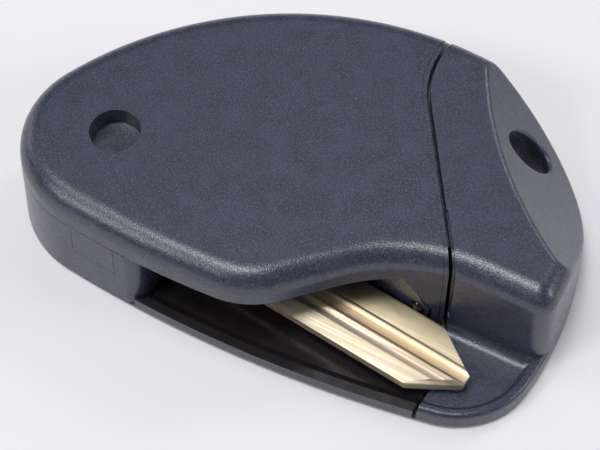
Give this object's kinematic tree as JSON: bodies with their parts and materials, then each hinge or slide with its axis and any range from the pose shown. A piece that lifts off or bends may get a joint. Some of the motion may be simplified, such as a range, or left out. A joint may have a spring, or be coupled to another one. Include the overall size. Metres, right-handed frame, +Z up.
{
  "type": "flip key remote shell",
  "caption": "Egg-shaped flip key remote shell with a folding uncut blade in a side slot, a thumb scoop, a sloping end with a key ring hole and buttons underneath.",
  "frame": {"origin": "on the blade's pivot axis, at the flat bottom face that the shell rests on", "axes": "+X along the blade slot from the pivot to the key ring end, +Y towards the back away from the slot, +Z up through the top cover"},
  "size_m": [0.0711, 0.0488, 0.015],
  "materials": {
    "case_plastic": "fine moulded grain",
    "blade_brass": "satin, uncut",
    "black_rubber": "smooth, glossy",
    "button_rubber": "matte",
    "steel": "bright zinc plate",
    "cell_steel": "bright",
    "contact_metal": "bright",
    "washer_plastic": "smooth",
    "board_laminate": "green lacquer",
    "chip_black": "matte"
  },
  "bodies": {
    "casing": {"top_cover": "case_plastic", "bottom_shell": "case_plastic", "end_cap": "case_plastic", "blade_bumper": "black_rubber", "thrust_washer": "washer_plastic", "casing_screws": "steel", "cap_screw": "steel", "circuit_board": "board_laminate", "coin_cell": "cell_steel", "cell_plate": "contact_metal", "cell_clip": "contact_metal", "controller_chip": "chip_black", "resonator": "cell_steel", "lock_switch": "cell_steel", "unlock_switch": "cell_steel"},
    "blade": {"blade_carrier": "case_plastic", "chip_cover": "case_plastic", "transponder_chip": "chip_black", "key_blade": "blade_brass", "blade_pin": "steel", "detent_ball": "steel", "detent_spring": "steel"},
    "lock_button": {"lock_button": "button_rubber", "lock_plunger": "chip_black"},
    "unlock_button": {"unlock_button": "button_rubber", "unlock_plunger": "chip_black"}
  },
  "joints": [
    {"name": "blade_hinge", "type": "hinge", "parent": "casing", "child": "blade", "pos_m": [0, 0, 0], "axis": [0, 0, 1], "range_deg": [-155, 0]},
    {"name": "lock_button_press", "type": "slide", "parent": "casing", "child": "lock_button", "axis": [0, 0, 1], "range_m": [0, 0.0004], "stiffness_N_per_m": 4000},
    {"name": "unlock_button_press", "type": "slide", "parent": "casing", "child": "unlock_button", "axis": [0, 0, 1], "range_m": [0, 0.0004], "stiffness_N_per_m": 4000}
  ]
}
